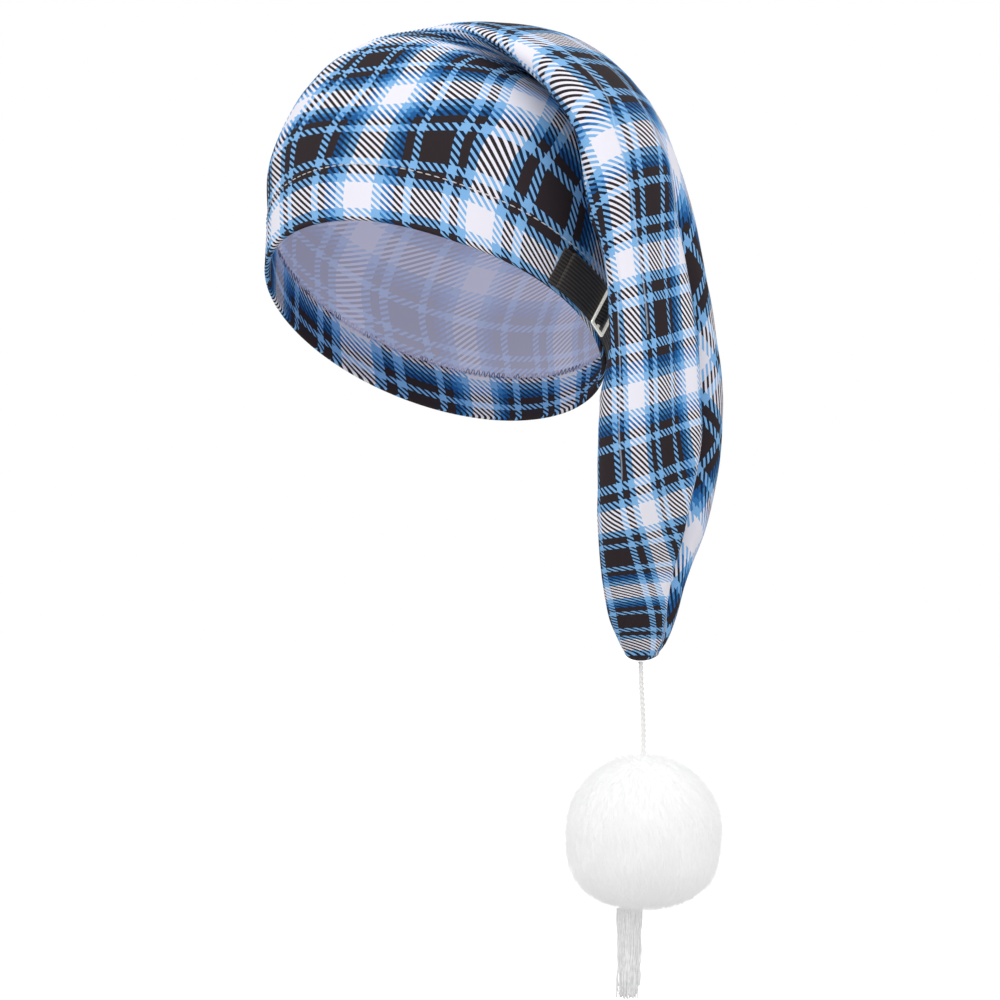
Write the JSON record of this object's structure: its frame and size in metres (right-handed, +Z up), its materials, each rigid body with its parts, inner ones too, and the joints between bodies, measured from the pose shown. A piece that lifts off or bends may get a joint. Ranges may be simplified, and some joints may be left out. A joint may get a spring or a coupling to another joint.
{
  "type": "nightcap",
  "caption": "Long soft nightcap whose crown folds over into a hanging tail, with an adjustable strap on the hem and a fur ball and tassel on a cord.",
  "frame": {"origin": "centre of the rim's opening, where the head goes in", "axes": "+Z up as worn, -Y the way the wearer looks, +X to the wearer's left, where the tail hangs"},
  "size_m": [0.2576, 0.1819, 0.4739],
  "materials": {
    "plaid_cloth": "soft knit, printed tartan",
    "black_elastic": "ribbed elastic",
    "bright_metal": "bright nickel",
    "light_cord": "twisted cord",
    "white_fur": "dense soft fur",
    "grey_silk": "silky threads"
  },
  "bodies": {
    "root": {"crown_and_tail": "plaid_cloth", "elastic_strap": "black_elastic", "slider_buckle": "bright_metal", "hanging_cord": "light_cord", "pompom": "white_fur", "tassel": "grey_silk"}
  },
  "joints": []
}
